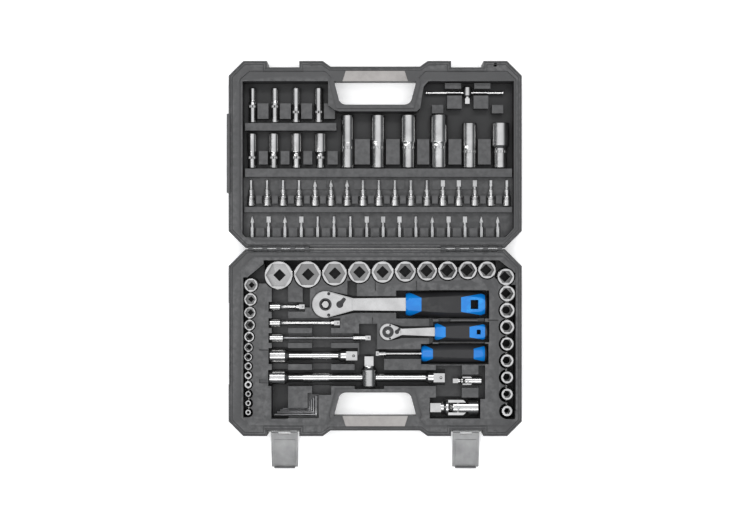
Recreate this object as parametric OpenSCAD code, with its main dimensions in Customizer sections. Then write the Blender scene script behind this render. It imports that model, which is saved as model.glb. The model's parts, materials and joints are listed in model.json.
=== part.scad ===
// Socket wrench set in a hinged carrying case, shown lying open flat.
// Origin: centre of the base's bottom face. +X right, +Y towards the hinge and lid, +Z up.

/* [Case] */
// Width of the case
case_w = 417; // [412:1:520]
// Depth of each half, from the hinge to the carry bar
case_d = 266; // [264:1:330]
// Height of each half, up to the parting plane
half_h = 45; // [45:1:60]
// Wall of the outer shells
shell_wall = 2; // [1.2:0.1:2.4]
// Wall of the inner trays
tray_wall = 1.6; // [1:0.1:1.8]
// Thickness of the trays' rim
rim_t = 2; // [1.5:0.1:3]
// Height of the base tray's plateau above the rim
plateau_rise = 2; // [1:0.1:2.5]
// Depth of the lid's step below its rim
lid_step = 3; // [2.6:0.1:4]
// Chamfer of the corners beside the hinge
rear_chamfer = 24; // [10:1:26]
// Chamfer of the corners beside the carry bar
front_chamfer = 21; // [10:1:24]

/* [Hinge and latches] */
// Gap between each half and the hinge axis
hinge_gap = 0.8; // [0.5:0.1:2]
// Diameter of the hinge pins
hinge_pin_d = 4; // [3:0.1:4.5]
// Diameter of the hinge knuckles
knuckle_d = 8; // [7:0.1:8.2]
// Width of one knuckle
knuckle_w = 6.5; // [4:0.1:8]
// Distance from one knuckle to the next
knuckle_pitch = 20; // [12:0.5:20.4]
// Distance from the middle of the case to the middle of each hinge pin
hinge_x = 137; // [135:1:140]
// Distance from the middle of the case to each latch
latch_x = 131; // [125:1:135]
// Width of the latch plates
latch_w = 38.5; // [30:0.5:42]
// Length of the latch plates
latch_len = 56; // [50:0.5:60]
// Thickness of the latch plates
latch_t = 1.2; // [0.8:0.1:1.5]
// Diameter of the latch pins
latch_pin_d = 3; // [2.5:0.1:3.4]

/* [Carry bar] */
// Width of the finger gap
gap_w = 117; // [100:1:125]
// Length of the finger gap
gap_len = 33; // [26:1:36]
// Width of the bar itself
bar_w = 21; // [18:0.5:24]
// Thickness of the bar in each half
bar_t = 20; // [15:0.5:24]

/* [Drives] */
// Across flats of the large square drive
big_sq = 12.7; // [12.5:0.1:13]
// Across flats of the small square drive
small_sq = 6.35; // [6.2:0.05:6.6]
// Clearance of each square socket on its drive, over the flats
drive_clear = 0.3; // [0.1:0.05:0.5]
// Clearance beside and under a tool in its pocket
pocket_clear = 1; // [0.6:0.1:1.2]
// Radial clearance of pins and shafts that turn
run_clear = 0.06; // [0.03:0.01:0.1]

/* [Ratchets] */
// Radius of the large ratchet's head
big_head_r = 19; // [18:0.5:20]
// Radius of the small ratchet's head
small_head_r = 11.8; // [11.4:0.1:12.4]
// Width of the large grip
big_grip_w = 38; // [34:0.5:39]
// Width of the small grip
small_grip_w = 27; // [24:0.5:28]
// Diameter of the spinner's grip
spin_grip_d = 27; // [24:0.5:28]

/* [Extensions] */
// Length of the short small extension
ext_a_len = 50; // [48:0.5:51]
// Length of the long small extension
ext_b_len = 100; // [96:0.5:102]
// Length of the flexible extension
flex_len = 144; // [140:0.5:147]
// Length of the short large extension
ext_c_len = 125; // [120:0.5:127]
// Length of the long large extension
ext_d_len = 250; // [245:0.5:252]
// Diameter of the large extensions' socket end
big_end_d = 21; // [20:0.5:22]
// Diameter of the small extensions' socket end
small_end_d = 12; // [11:0.5:12.5]
// Diameter of the large universal joint
big_joint_d = 24; // [22:0.5:25]
// Diameter of the small universal joint
small_joint_d = 13; // [12:0.5:13.5]
// Length of the T-bar
t_bar_len = 111.5; // [105:0.5:113]

/* [Hidden] */
$fn = 48;

charcoal = [0.29, 0.29, 0.31];
chrome = [0.78, 0.79, 0.81];
blue = [0.02, 0.42, 0.85];
rubber = [0.13, 0.13, 0.14];
pad_grey = [0.65, 0.63, 0.62];
zinc = [0.7, 0.71, 0.72];

// Heights that the whole set shares
top = half_h;
plate_z = top - rim_t;
hinge_y = case_d / 2 + hinge_gap;
front_y = -case_d / 2;

// Places across the case, from its middle. v is the distance from the hinge line.
half_w = case_w / 2;
notch_w = latch_w + 7.5;
notch_depth = 9;
bar_recess = 8;
bar_half = gap_w / 2 + 5;
gap_front = hinge_gap + case_d - bar_recess - bar_w;
gap_back = gap_front - gap_len;
flap_v = [79, 191];
flap_side = 3;

function unit(a) = a / norm(a);
function left_of(a) = [-a[1], a[0]];
// Moves each edge of a counter-clockwise outline inwards by d
function inset(pts, d) = [
    for (i = [0 : len(pts) - 1])
        let (
            before = pts[(i + len(pts) - 1) % len(pts)],
            here = pts[i],
            next = pts[(i + 1) % len(pts)],
            n1 = left_of(unit(here - before)),
            n2 = left_of(unit(next - here))
        )
        here + (n1 + n2) * d / (1 + n1 * n2)
];
// Turns an outline in x and v into one in x and y: side is -1 for the base and 1 for the lid
function to_half(pts, side) = side > 0
    ? [for (p = pts) [p[0], hinge_y + p[1]]]
    : [for (i = [len(pts) - 1 : -1 : 0]) [pts[i][0], hinge_y - pts[i][1]]];

v_back = hinge_gap;
v_front = hinge_gap + case_d;
// Half of the outline, from the carry bar to the hinge, on the right
right_side = [
    [bar_half, v_front - bar_recess],
    [bar_half + 11, v_front],
    [latch_x - notch_w / 2, v_front],
    [latch_x - notch_w / 2, v_front - notch_depth],
    [latch_x + notch_w / 2, v_front - notch_depth],
    [latch_x + notch_w / 2, v_front],
    [half_w - front_chamfer, v_front],
    [half_w, v_front - front_chamfer],
    [half_w, v_back + rear_chamfer],
    [half_w - rear_chamfer, v_back]
];
function backwards(pts) = [for (i = [len(pts) - 1 : -1 : 0]) pts[i]];
function flip(pts) = [for (p = backwards(pts)) [-p[0], p[1]]];
// Counter-clockwise in x and v
outline = concat(backwards(right_side), flip(backwards(right_side)));
gap_r = 11;
// The gap's sides lean in by this much towards its rounded rear corners
gap_lean = 6;
gap_corner_x = gap_w / 2 - gap_lean - gap_r;
gap_outline = concat(
    [for (a = [180 : 15 : 270]) [gap_r * cos(a) - gap_corner_x, gap_back + gap_r * (1 + sin(a))]],
    [for (a = [270 : 15 : 360]) [gap_corner_x + gap_r * cos(a), gap_back + gap_r * (1 + sin(a))]],
    [[gap_w / 2, gap_front], [-gap_w / 2, gap_front]]
);
// The plateau of the base, which drops into the lid's step when the case closes
plateau = [
    [-173, 12], [182, 12], [199, 29], [199, 240], [187, 251], [72, 251], [64, 243], [66, 236],
    [56, 198], [-56, 198], [-66, 236], [-64, 243], [-72, 251], [-178, 251], [-191, 240], [-191, 29]
];
step_gap = 1.6;
cavity = [
    [-184, 16], [185, 16], [197.5, 29], [197.5, 238.5], [76, 238.5], [69, 231], [64, 200], [59, 195.5],
    [-51, 195.5], [-58, 197.5], [-67, 204], [-67, 238.5], [-189, 238.5], [-189, 21]
];

module prism(pts, z0, z1) {
    translate([0, 0, z0])
        linear_extrude(z1 - z0)
            polygon(pts);
}

module box(x0, x1, y0, y1, z0, z1) {
    translate([x0, y0, z0])
        cube([x1 - x0, y1 - y0, z1 - z0]);
}

// One half of the case as a full solid, drawn in by d
module half_solid(side, d, z0, z1, bar_z) {
    difference() {
        prism(to_half(inset(outline, d), side), z0, z1);
        prism(to_half(inset(gap_outline, -d), side), z0 - 1, z1 + 1);
        under = [
            [-gap_w / 2 - d, gap_back + 20], [gap_w / 2 + d, gap_back + 20],
            [gap_w / 2 + d, v_front + 1], [-gap_w / 2 - d, v_front + 1]
        ];
        prism(to_half(under, side), z0 - 1, bar_z);
    }
}

// Slots that make room for the knuckles, in both halves
module hinge_slots() {
    slot_r = knuckle_d / 2 + 0.4;
    slot_len = knuckle_pitch * 4 + knuckle_w + 1.6;
    for (s = [-1, 1])
        box(s * hinge_x - slot_len / 2, s * hinge_x + slot_len / 2,
            hinge_y - slot_r, hinge_y + slot_r, top - slot_r, top + 1);
}

// Every second knuckle, starting at the given one, with its web to one half
module knuckles(first, side) {
    for (s = [-1, 1])
        for (k = [first : 2 : 4])
            translate([s * hinge_x + (k - 2) * knuckle_pitch - knuckle_w / 2, hinge_y, top]) {
                rotate([0, 90, 0])
                    cylinder(d = knuckle_d, h = knuckle_w);
                translate([0, side > 0 ? 0 : -knuckle_d, -knuckle_d / 2 + 0.2])
                    cube([knuckle_w, knuckle_d, knuckle_d / 2 - 0.2]);
            }
}

module hinge_bore(d) {
    for (s = [-1, 1])
        translate([s * hinge_x - 50, hinge_y, top])
            rotate([0, 90, 0])
                cylinder(d = d, h = 100);
}

module hinge_pins() color(zinc) {
    pin_len = knuckle_pitch * 4 + knuckle_w;
    for (s = [-1, 1])
        translate([s * hinge_x - pin_len / 2, hinge_y, top])
            rotate([0, 90, 0])
                cylinder(d = hinge_pin_d, h = pin_len);
}

// ---- Latches ----
latch_pin_z = 16;
latch_pin_y = front_y + 4.5;
latch_drop = asin((latch_pin_z - 1.1) / latch_len);
catch_z = latch_pin_z + latch_len;

module latch_pins() color(zinc) {
    for (s = [-1, 1])
        translate([s * latch_x - notch_w / 2 - 3, latch_pin_y, latch_pin_z])
            rotate([0, 90, 0])
                cylinder(d = latch_pin_d, h = notch_w + 6);
}

// Bosses on the base shell that hold the pins' ends
module latch_pin_holes() {
    for (s = [-1, 1])
        translate([s * latch_x - notch_w / 2 - 3, latch_pin_y, latch_pin_z])
            rotate([0, 90, 0])
                cylinder(d = latch_pin_d, h = notch_w + 6);
}

module latch_bosses() {
    for (s = [-1, 1])
        for (e = [-1, 1])
            translate([s * latch_x + e * (notch_w / 2 + 1.5) - 1.5, latch_pin_y, latch_pin_z])
                rotate([0, 90, 0])
                    cylinder(d = latch_pin_d + 5, h = 3);
}

// A stamped plate on a rolled eye, with a hook at its free end, drawn along -Y from its pin
module latch_plate() {
    eye_r = latch_pin_d / 2 + run_clear + latch_t;
    difference() {
        union() {
            translate([-latch_w / 2, 0, 0])
                rotate([0, 90, 0])
                    cylinder(r = eye_r, h = latch_w);
            box(-latch_w / 2, latch_w / 2, -latch_len, 0, -eye_r, -eye_r + latch_t);
            box(-latch_w / 2 + 4, latch_w / 2 - 4, -latch_len, -latch_len + latch_t,
                -eye_r, 5.2);
            box(-latch_w / 2 + 4, latch_w / 2 - 4, -latch_len + 4, -14,
                -eye_r + latch_t, -eye_r + latch_t + 0.6);
        }
        translate([-latch_w / 2 - 1, 0, 0])
            rotate([0, 90, 0])
                cylinder(d = latch_pin_d + 2 * run_clear, h = latch_w + 2);
        box(-9, 9, -6, 4, -4, 4);
    }
}

module place_latch(s) {
    translate([s * latch_x, latch_pin_y, latch_pin_z])
        rotate([latch_drop - 1.6, 0, 0])
            latch_plate();
}

module left_latch() color(zinc) place_latch(-1);
module right_latch() color(zinc) place_latch(1);

// ---- Shells ----
module base_shell() color(charcoal) {
    difference() {
        union() {
            difference() {
                half_solid(-1, 0, 0, plate_z, top - bar_t);
                half_solid(-1, shell_wall, shell_wall, plate_z + 1, top - bar_t + shell_wall);
            }
            latch_bosses();
            for (s = [-1, 1])
                for (e = [-1, 1])
                    box(s * latch_x + e * (notch_w / 2 + 1.5) - 1.5,
                        s * latch_x + e * (notch_w / 2 + 1.5) + 1.5,
                        latch_pin_y - 3.6, front_y + notch_depth + 1, latch_pin_z - 3, latch_pin_z + 3);
        }
        hinge_slots();
        latch_pin_holes();
        side_recess();
    }
}

// Shallow recess on the base's left side, where the lid's flap closes over it
module side_recess() {
    box(-half_w - 1, -half_w + flap_side, hinge_y - flap_v[1] - 2, hinge_y - flap_v[0] + 2,
        top - 9, top + 1);
}

module lid_shell() color(charcoal) {
    difference() {
        union() {
            difference() {
                half_solid(1, 0, 0, plate_z, top - bar_t);
                half_solid(1, shell_wall, shell_wall, plate_z + 1, top - bar_t + shell_wall);
            }
            // ledge behind each latch notch, which backs the catch groove
            for (s = [-1, 1])
                box(s * latch_x - latch_w / 2, s * latch_x + latch_w / 2,
                    hinge_y + v_front - notch_depth - 8, hinge_y + v_front - notch_depth,
                    2 * top - catch_z - 5, 2 * top - catch_z + 7);
            box(-half_w - 2, -half_w + 3, hinge_y + flap_v[0], hinge_y + flap_v[1], 8, plate_z);
        }
        hinge_slots();
        for (s = [-1, 1])
            box(s * latch_x - latch_w / 2 + 3, s * latch_x + latch_w / 2 - 3,
                hinge_y + v_front - notch_depth - 6, hinge_y + v_front - notch_depth + 1,
                2 * top - catch_z - 2, 2 * top - catch_z + 4);
    }
}

// ---- Layout of the tools ----
// Tools lie along X. Each has its start in x, its line in y and the height of its axis.
big_axis = top - 13;
small_axis = top - 8;
spin_axis = top + 1.6 - spin_grip_d / 2;
big_ext_axis = top + 1.5 - big_end_d / 2;
small_ext_axis = top + 1 - small_end_d / 2;

big_ratchet_at = [-70.9, 54.3, big_axis];
small_ratchet_at = [18.2, 15.2, small_axis];
spinner_at = [1, -16, spin_axis];
ext_a_at = [-150.5, 51.1, small_ext_axis];
ext_b_at = [-150.5, 28, small_ext_axis];
flex_at = [-150.5, 6.7, small_ext_axis];
ext_c_at = [-150.5, -18.9, big_ext_axis];
ext_d_at = [-151, -50.1, big_ext_axis];
t_head_at = [-8.8, -50.1, big_ext_axis];
big_joint_at = [118.3, -92.7, top + 1.5 - big_joint_d / 2];
small_joint_at = [132, -54.4, top + 1 - small_joint_d / 2];
key_at = [-143.7, -98.4, top - 4];
key_corner_x = -94;
grip_start = 43.7;
grip_end = 160;

big_end_len = 24;
small_end_len = 17;
big_shaft_d = 12;
small_shaft_d = 6.5;

// Large sockets: size across flats, outside diameter and height
big_sizes = [32, 30, 27, 24, 23, 22, 21, 20, 19, 18, 17, 16, 15, 14, 13, 12, 11, 10];
big_ods = [40.5, 38.5, 35.5, 32, 31.5, 30, 28.5, 27.5, 26.5, 25.5, 24.5,
           23, 23, 22.5, 22, 22, 22, 22];
big_nose = [40.5, 38.5, 35.5, 32, 31.5, 30, 28.5, 27.5, 26.5, 25.5, 24.5,
            23, 22, 21, 19.5, 19, 18, 17];
tall_from = 27;
socket_h = 38;
tall_h = 42;
socket_gap = 1.48;
row_y = 116.2;
row_x = -137.3;
column_x = 187.4;
column_y = 69.9;
column_pitch = 23.85;

function sum_to(a, n) = n <= 0 ? 0 : a[n - 1] + sum_to(a, n - 1);
function big_at(i) =
    i < 10 ? [row_x + sum_to(big_ods, i) - big_ods[0] / 2 + big_ods[i] / 2 + i * socket_gap,
              row_y - big_ods[i] / 2]
    : i == 10 ? [185.7, 93.6]
    : [column_x, column_y - (i - 11) * column_pitch];
function big_h(i) = big_sizes[i] >= tall_from ? tall_h : socket_h;
adapter_at = [column_x, column_y - 7 * column_pitch];
adapter_d = 21;

// Small sockets
small_sizes = [14, 13, 12, 11, 10, 9, 8, 7, 6, 5.5, 5, 4.5, 4];
function small_od(i) = i < 5 ? [20, 18.5, 17, 16, 15][i] : i == 5 ? 13 : 12;
function small_nose(i) = i > 9 ? 9 : small_od(i) - (i > 6 ? 0.6 : 0);
small_gap = 1.12;
small_x = -186.5;
small_y = 81.9;
small_h = 25;
small_ods = [for (i = [0 : 12]) small_od(i)];
function small_at(i) = [
    small_x + small_od(i) / 2,
    small_y - sum_to(small_ods, i) + small_od(0) / 2 - small_od(i) / 2 - i * small_gap
];

// ---- Base tray ----
// A run of standing sockets: round pockets joined by a straight back wall
module standing_pocket(at, d, h, grow, back) {
    r = d / 2 + pocket_clear + grow;
    z = top + 0.8 - h - grow;
    translate([at[0], at[1], z])
        cylinder(r = r, h = top + 5 - z);
    if (back == 1)
        box(at[0] - r, at[0] + r, at[1], at[1] + r, z, top + 5);
    if (back == 2)
        box(at[0], at[0] + r, at[1] - r, at[1] + r, z, top + 5);
    if (back == 3)
        box(at[0] - r, at[0], at[1] - r, at[1] + r, z, top + 5);
}

// A channel along X: from x0 to x1 on line y, w wide, with its floor at z
module channel(x0, x1, y, w, z, grow) {
    box(x0 - grow, x1 + grow, y - w / 2 - grow, y + w / 2 + grow, z - grow, top + 5);
}

c2 = 2 * pocket_clear;
big_floor = big_ext_axis - big_end_d / 2;
small_floor = small_ext_axis - small_end_d / 2;
trough_z = top - 15;
well_x = [76.5, 156];

module base_pockets(grow) {
    for (i = [0 : 9])
        standing_pocket(big_at(i), big_ods[i], big_h(i), grow, 1);
    for (i = [10 : 17])
        standing_pocket(big_at(i), big_ods[i], big_h(i), grow, i > 10 ? 2 : 0);
    box(column_x, column_x + big_ods[11] / 2 + pocket_clear + grow,
        adapter_at[1], column_y, top + 0.8 - socket_h - grow, top + 5);
    standing_pocket(adapter_at, adapter_d, socket_h, grow, 2);
    for (i = [0 : 12])
        standing_pocket(small_at(i), small_od(i), small_h, grow, 3);
    // large ratchet: head, shank and grip
    translate([big_ratchet_at[0], big_ratchet_at[1], big_axis - 24.2 - grow])
        cylinder(r = big_head_r + pocket_clear + grow, h = top);
    translate([big_ratchet_at[0], big_ratchet_at[1], 0])
        prism(taper_plan(big_head_r + pocket_clear + grow, big_plan[0], 24 + 2 * grow),
            big_axis - 11 - grow, top + 5);
    channel(big_ratchet_at[0] + 10, grip_start + 4, big_ratchet_at[1], 24, big_axis - 11, grow);
    channel(grip_start - 14, grip_end + 2, big_ratchet_at[1], big_grip_w + c2, big_axis - 15, grow);
    // small ratchet
    translate([small_ratchet_at[0], small_ratchet_at[1], small_axis - 15.5 - grow])
        cylinder(r = small_head_r + pocket_clear + grow, h = top);
    translate([small_ratchet_at[0], small_ratchet_at[1], 0])
        prism(taper_plan(small_head_r + pocket_clear + grow, small_plan[0], 17 + 2 * grow),
            small_axis - 8 - grow, top + 5);
    channel(small_ratchet_at[0] + 6, small_grip_start + 4, small_ratchet_at[1], 17, small_axis - 8, grow);
    channel(small_grip_start - 2, grip_end + 2, small_ratchet_at[1], small_grip_w + c2,
        small_axis - 10, grow);
    // spinner
    channel(spinner_at[0] - 1, spin_grip_start + 2, spinner_at[1], 14, spin_axis - 5, grow);
    channel(spin_grip_start - 1, grip_end + 1, spinner_at[1], spin_grip_d + c2,
        spin_axis - spin_grip_d / 2, grow);
    // common well that bares the three grips
    box(well_x[0] - grow, well_x[1] + grow, -31 - grow, 74.8 + grow, top - 12 - grow, top + 5);
    // small extensions
    channel(ext_a_at[0] - 1, ext_a_at[0] + ext_a_len + 1, ext_a_at[1], small_end_d + c2, small_floor, grow);
    channel(ext_b_at[0] - 1, ext_b_at[0] + ext_b_len + 1, ext_b_at[1], small_end_d + c2, small_floor, grow);
    channel(flex_at[0] - 1, flex_at[0] + flex_len + 1, flex_at[1], small_end_d + c2, small_floor, grow);
    // large extensions
    channel(ext_c_at[0] - 1, ext_c_at[0] + ext_c_len + 1, ext_c_at[1], big_end_d + c2, big_floor, grow);
    channel(ext_d_at[0] - 1, ext_d_at[0] + ext_d_len + 1, ext_d_at[1], big_end_d + c2, big_floor, grow);
    // T head lies across the long extension
    box(t_head_at[0] - 20.5 - grow, t_head_at[0] + 21.5 + grow, -66 - grow, -17.5 + grow,
        big_ext_axis - 12.5 - grow, top + 5);
    // universal joints
    channel(big_joint_at[0] - 41, big_joint_at[0] + 31, big_joint_at[1], big_joint_d + 6,
        top + 1.5 - big_joint_d, grow);
    channel(small_joint_at[0] - 23, small_joint_at[0] + 21, small_joint_at[1], small_joint_d + 6,
        top + 1 - small_joint_d, grow);
    // hex keys
    box(-145.5 - grow, -80 + grow, -107 - grow, -92.5 + grow, key_at[2] - 3.4 - grow, top + 5);
    box(-96 - grow, -80 + grow, -107 - grow, -71 + grow, key_at[2] - 3.4 - grow, top + 5);
    // finger troughs across the tools
    box(-147 - grow, -123.6 + grow, -62 - grow, 84 + grow, trough_z - grow, top + 5);
    box(-89.7 - grow, -62.5 + grow, -74 - grow, 25 + grow, trough_z - grow, top + 5);
    box(-23 - grow, 2.7 + grow, -66 - grow, 27 + grow, trough_z - grow, top + 5);
    box(86 - grow, 123 + grow, -80 - grow, -32 + grow, trough_z - grow, top + 5);
    box(146.5 - grow, 156 + grow, -80 - grow, -32 + grow, trough_z - grow, top + 5);
    // deep pits at the left, and beside the large ratchet
    box(-147.5 - grow, -123.6 + grow, -108 - grow, -57 + grow, top - 26 - grow, top + 5);
    box(-103 - grow, -92.6 + grow, 50 - grow, 84 + grow, trough_z - grow, top + 5);
    box(-39.5 - grow, -26 + grow, 62 - grow, 88 + grow, trough_z - grow, top + 5);
    // black corners of the socket pockets
    prism(inset([[-137, 117.2], [-152, 117.2], [-187.5, 88], [-187.5, 76], [-166, 84], [-137, 84]], -grow),
        top - 20 - grow, top + 5);
    prism(inset([[172, 90], [198.9, 90], [198.9, 99], [176, 117.2], [160, 117.2], [160, 104]], -grow),
        top - 20 - grow, top + 5);
    // thin seams between the plateau's blocks
    for (x = [0.3, 58.6])
        box(x - 0.8 - grow, x + 0.8 + grow, 74 - grow, 88 + grow, plate_z + 0.8 - grow, top + 5);
    box(-4.6 - grow, -3 + grow, 16 - grow, 36 + grow, plate_z + 0.8 - grow, top + 5);
    box(160 - grow, 175 + grow, 31 - grow, 33 + grow, plate_z + 0.8 - grow, top + 5);
    box(-165 - grow, -150 + grow, -11 - grow, -9.5 + grow, plate_z + 0.8 - grow, top + 5);
    box(-165 - grow, -150 + grow, -57.5 - grow, -52 + grow, plate_z + 0.8 - grow, top + 5);
}

module pad_recess(side, grow) {
    pts = [
        [-48, gap_front - 4], [48, gap_front - 4], [42, gap_front + 15], [-42, gap_front + 15]
    ];
    prism(to_half(inset(pts, -grow), side), plate_z - 3, top + 1);
}

// Small blocks left standing between the grips
module well_islands() {
    box(82, 90, 30, 33.4, 0, top);
    box(107, 146, 30.6, 33, 0, top);
    box(82, 90, -1.6, 0.6, 0, top);
}

module rim_outline(side, z0, z1) {
    difference() {
        prism(to_half(outline, side), z0, z1);
        prism(to_half(gap_outline, side), z0 - 1, z1 + 1);
    }
}

module base_tray() color(charcoal) {
    difference() {
        union() {
            difference() {
                rim_outline(-1, plate_z, top);
                hinge_slots();
                side_recess();
            }
            prism(to_half(plateau, -1), plate_z, top + plateau_rise);
            intersection() {
                base_pockets(tray_wall);
                half_solid(-1, shell_wall, shell_wall, plate_z + 0.5, top - bar_t + shell_wall);
            }
            knuckles(0, -1);
        }
        difference() {
            base_pockets(0);
            well_islands();
        }
        hinge_bore(hinge_pin_d);
        pad_recess(-1, 0.1);
    }
}

module grip_pad(side) {
    difference() {
        intersection() {
            pad_recess(side, 0);
            box(-60, 60, -500, 500, plate_z, top - 0.3);
        }
        prism(to_half(gap_outline, side), 0, top + 2);
    }
}
module base_grip_pad() color(pad_grey) grip_pad(-1);
module lid_grip_pad() color(pad_grey) grip_pad(1);

// ---- Lid tray ----
lid_floor = 12;
bit_floor = top - 23;
pad_top = top - 15;
strip_top = top - 12;

row1_y = 315;
row2_y = 249.5;
row3_y = 194.8;
row4_y = 150.5;
deep_x = [[-176.4, -144.4, -113.9, -81.2], [-177, -145.8, -113.2, -78.7]];
deep_small_len = 50;
half_deep_x = -39.6;
half_deep_pitch = 43.6;
half_deep_len = 76;
half_deep_od = [19, 21.5, 23.5, 26];
spark_x = [135.3, 179.3];
spark_od = [22, 26];
spark_len = 64.5;
large_x = concat([for (i = [0 : 3]) half_deep_x + i * half_deep_pitch], spark_x);
large_od = concat(half_deep_od, spark_od);
bit_socket_x = -177.8;
bit_socket_pitch = 22.9;
bit_socket_len = 37;
bit_x = -176.4;
bit_pitch = 23.48;
bit_len = 29.5;

module lid_pads() {
    // strips between the rows
    box(-186, -55.7, 302.8, 313.5, lid_floor - 1, strip_top);
    box(-186, 195.7, 236.5, 248.3, lid_floor - 1, strip_top);
    // pads between the small deep sockets
    for (i = [0 : 3]) {
        box(deep_x[0][i] + 8, deep_x[0][i] + 23.5, 319.8, 341.8, lid_floor - 1, pad_top);
        box(deep_x[1][i] + 10.5, deep_x[1][i] + (i == 3 ? 25 : 23), 254.5, 273.6, lid_floor - 1, pad_top);
    }
    // pads that fill the gaps between the large deep sockets
    for (i = [0 : 4])
        box(large_x[i] + large_od[i] / 2 + 0.9, large_x[i + 1] - large_od[i + 1] / 2 - 0.9,
            254.5, 290.7, lid_floor - 1, pad_top);
    // bed of the two rows of bits
    box(-189, 197.5, hinge_y + 16, 236.7, lid_floor - 1, bit_floor);
    for (i = [0 : 15]) {
        box(bit_socket_x + i * bit_socket_pitch + 7.5, bit_socket_x + i * bit_socket_pitch + 15.4,
            198.4, 209.8, bit_floor - 1, bit_floor + 9);
        if (i < 15)
            box(bit_x + i * bit_pitch + 6, bit_x + i * bit_pitch + 17.5, 150.8, 163.6,
                bit_floor - 1, bit_floor + 7);
    }
    box(-187, 196, 186, 193.5, bit_floor - 1, bit_floor + 10);
    // low plates behind the tips
    for (x = [[-138, -70], [-31, 42], [82, 148]])
        box(x[0], x[1], 219, 233, bit_floor - 1, bit_floor + 2.4);
    // pads beside the T-bar
    t_x = 132.5;
    for (s = [-1, 1]) {
        box(t_x + s * 19 - 10.5, t_x + s * 19 + 10.5, 334.5, 353, lid_floor - 1, pad_top);
        box(t_x + s * 21 - 11.5, t_x + s * 21 + 11.5, 363, 371, lid_floor - 1, pad_top);
        box(t_x + s * 43 - 8, t_x + s * 43 + 8, 328, 340, lid_floor - 1, pad_top - 3);
    }
}

module lid_tray() color(charcoal) {
    difference() {
        union() {
            difference() {
                rim_outline(1, plate_z, top);
                hinge_slots();
            }
            prism(to_half(inset(plateau, -step_gap - 2), 1), top - lid_step - tray_wall, plate_z + 0.5);
            difference() {
                prism(to_half(inset(cavity, -tray_wall), 1), lid_floor - tray_wall, top - lid_step);
                prism(to_half(cavity, 1), lid_floor, top);
            }
            knuckles(1, 1);
            box(-half_w - 2, -half_w + 2.2, hinge_y + flap_v[0], hinge_y + flap_v[1], plate_z, top + 6);
        }
        difference() {
            prism(to_half(inset(plateau, -step_gap), 1), top - lid_step, top + 2);
        }
        prism(to_half(cavity, 1), lid_floor, top + 2);
        hinge_bore(hinge_pin_d + 2 * run_clear);
        pad_recess(1, 0.1);
    }
    lid_pads();
}

// ---- Turned and square features shared by the tools ----
module turned(pts) {
    rotate_extrude()
        polygon(pts);
}

module x_axis(at) {
    translate(at)
        rotate([0, 90, 0])
            children();
}

// A square bar from z = 0 up, with a hole for its detent ball near the end
module square_end(w, l, ball_d) {
    difference() {
        translate([-w / 2, -w / 2, 0])
            cube([w, w, l]);
        translate([-w / 2 - 1, 0, l - w * 0.42])
            rotate([0, 90, 0])
                cylinder(d = ball_d + 0.1, h = 1 + ball_d * 0.75);
    }
    translate([-w / 2 + ball_d * 0.25, 0, l - w * 0.42])
        sphere(d = ball_d);
}

// A shaft with a socket at z = 0 and a square drive at z = len
module extension(len, sq, end_d, end_len, shaft_d) {
    tip = sq * 1.25;
    difference() {
        turned([
            [0, 0], [end_d / 2 - 1, 0], [end_d / 2, 1], [end_d / 2, end_len - 2],
            [end_d / 2 - 1.5, end_len], [shaft_d / 2, end_len + 4], [shaft_d / 2, len - tip - sq * 0.9],
            [sq * 0.69, len - tip - sq * 0.6], [sq * 0.69, len - tip], [0, len - tip]
        ]);
        s = sq + drive_clear;
        translate([-s / 2, -s / 2, -1])
            cube([s, s, tip + 2]);
    }
    translate([0, 0, len - tip - 0.01])
        square_end(sq, tip, sq * 0.3);
}

module extension_50() color(chrome)
    x_axis(ext_a_at) extension(ext_a_len, small_sq, small_end_d, small_end_len, small_shaft_d);
module extension_100() color(chrome)
    x_axis(ext_b_at) extension(ext_b_len, small_sq, small_end_d, small_end_len, small_shaft_d);
module extension_125() color(chrome)
    x_axis(ext_c_at) extension(ext_c_len, big_sq, big_end_d, big_end_len, big_shaft_d);

knurl_d = big_shaft_d + 2.4;
module extension_250() color(chrome) {
    x_axis(ext_d_at)
        extension(ext_d_len, big_sq, big_end_d, big_end_len, big_shaft_d);
    difference() {
        x_axis([ext_d_at[0] + 49, ext_d_at[1], ext_d_at[2]])
            cylinder(d = knurl_d, h = 36);
        x_axis([ext_d_at[0] + 48, ext_d_at[1], ext_d_at[2]])
            cylinder(d = big_shaft_d, h = 38);
    }
}

flex_ferrule = 17;
module flex_extension_ends() color(chrome)
    x_axis(flex_at) {
        difference() {
            turned([
                [0, 0], [small_end_d / 2 - 0.8, 0], [small_end_d / 2, 0.8],
                [small_end_d / 2, 19], [small_end_d / 2 - 1.5, 21], [0, 21]
            ]);
            s = small_sq + drive_clear;
            translate([-s / 2, -s / 2, -1])
                cube([s, s, 10]);
            translate([0, 0, 13])
                cylinder(d = 4.5, h = 9);
        }
        difference() {
            translate([0, 0, flex_len - flex_ferrule - 7.5])
                cylinder(d = 9, h = flex_ferrule);
            translate([0, 0, flex_len - flex_ferrule - 8.5])
                cylinder(d = 4.5, h = 10);
        }
        translate([0, 0, flex_len - 7.51])
            square_end(small_sq, 7.5, 2);
    }

module flex_extension_cable() color([0.3, 0.3, 0.32])
    x_axis([flex_at[0] + 13, flex_at[1], flex_at[2]])
        cylinder(d = 4.5, h = flex_len - flex_ferrule - 7.5 + 9 - 13);

// Sliding T head: a block bored for the long extension's shaft, its drive across it
module t_head() color(chrome) {
    translate(t_head_at)
        rotate([-90, 0, 0])
            difference() {
                union() {
                    translate([0, 0, -13])
                        turned([
                            [0, 0], [10, 0], [11.5, 1.5], [11.5, 24], [10, 26], [8.8, 28],
                            [8.8, 30], [0, 30]
                        ]);
                    translate([0, 0, 16.9])
                        square_end(big_sq, 13.5, 3.8);
                }
                rotate([0, 90, 0])
                    cylinder(d = big_shaft_d + 2 * run_clear, h = 40, center = true);
            }
}

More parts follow.
